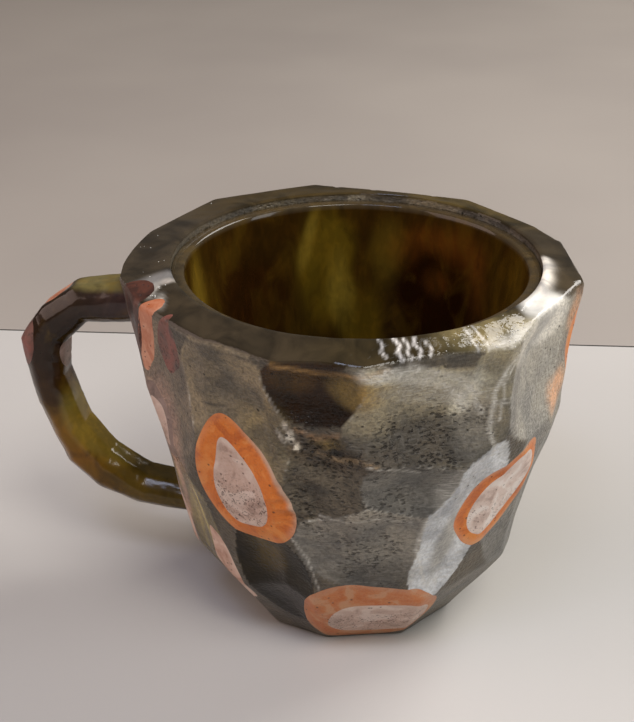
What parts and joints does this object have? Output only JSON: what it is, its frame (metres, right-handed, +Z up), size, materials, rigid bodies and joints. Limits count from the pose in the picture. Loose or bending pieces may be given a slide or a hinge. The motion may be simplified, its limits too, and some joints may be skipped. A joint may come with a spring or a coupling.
{
  "type": "faceted resin mug",
  "caption": "Thick-walled cast-resin mug with hand-ground facets, stone pebbles set flush in the wall, a round glossy bore and a loop handle.",
  "frame": {"origin": "centre of the flat face that the mug stands on, on the bore's axis", "axes": "+Z up along the bore's axis, towards the mouth; -X towards the handle; the handle lies in the XZ plane"},
  "size_m": [0.1374, 0.1019, 0.0906],
  "materials": {
    "smoky_resin": "ground and hazed on the facets, polished on the rim",
    "liner_resin": "high gloss",
    "amber_resin": "polished",
    "orange_rind": "honed, fine pits",
    "pale_core": "honed, porous",
    "plum_stone": "honed",
    "peach_stone": "honed",
    "russet_stone": "honed, pitted",
    "pink_grey_stone": "honed, porous"
  },
  "bodies": {
    "root": {"mug_body": "smoky_resin", "liner_cup": "liner_resin", "handle": "amber_resin", "front_left_rind": "orange_rind", "front_left_core": "pale_core", "front_low_rind": "orange_rind", "front_low_core": "pale_core", "front_right_rind": "orange_rind", "front_right_core": "pale_core", "side_right_rind": "orange_rind", "side_right_core": "pale_core", "rear_right_rind": "orange_rind", "rear_right_core": "pale_core", "rear_low_rind": "orange_rind", "rear_low_core": "pale_core", "rear_left_rind": "orange_rind", "rear_left_core": "pale_core", "side_left_rind": "pink_grey_stone", "side_left_core": "pale_core", "low_left_rind": "orange_rind", "low_left_core": "pale_core", "joint_chip": "plum_stone", "joint_stripe_chip": "peach_stone", "rim_chip": "russet_stone", "tail_chip": "peach_stone", "handle_top_chip": "peach_stone", "handle_corner_chip": "russet_stone", "handle_inner_chip": "pink_grey_stone"}
  },
  "joints": []
}
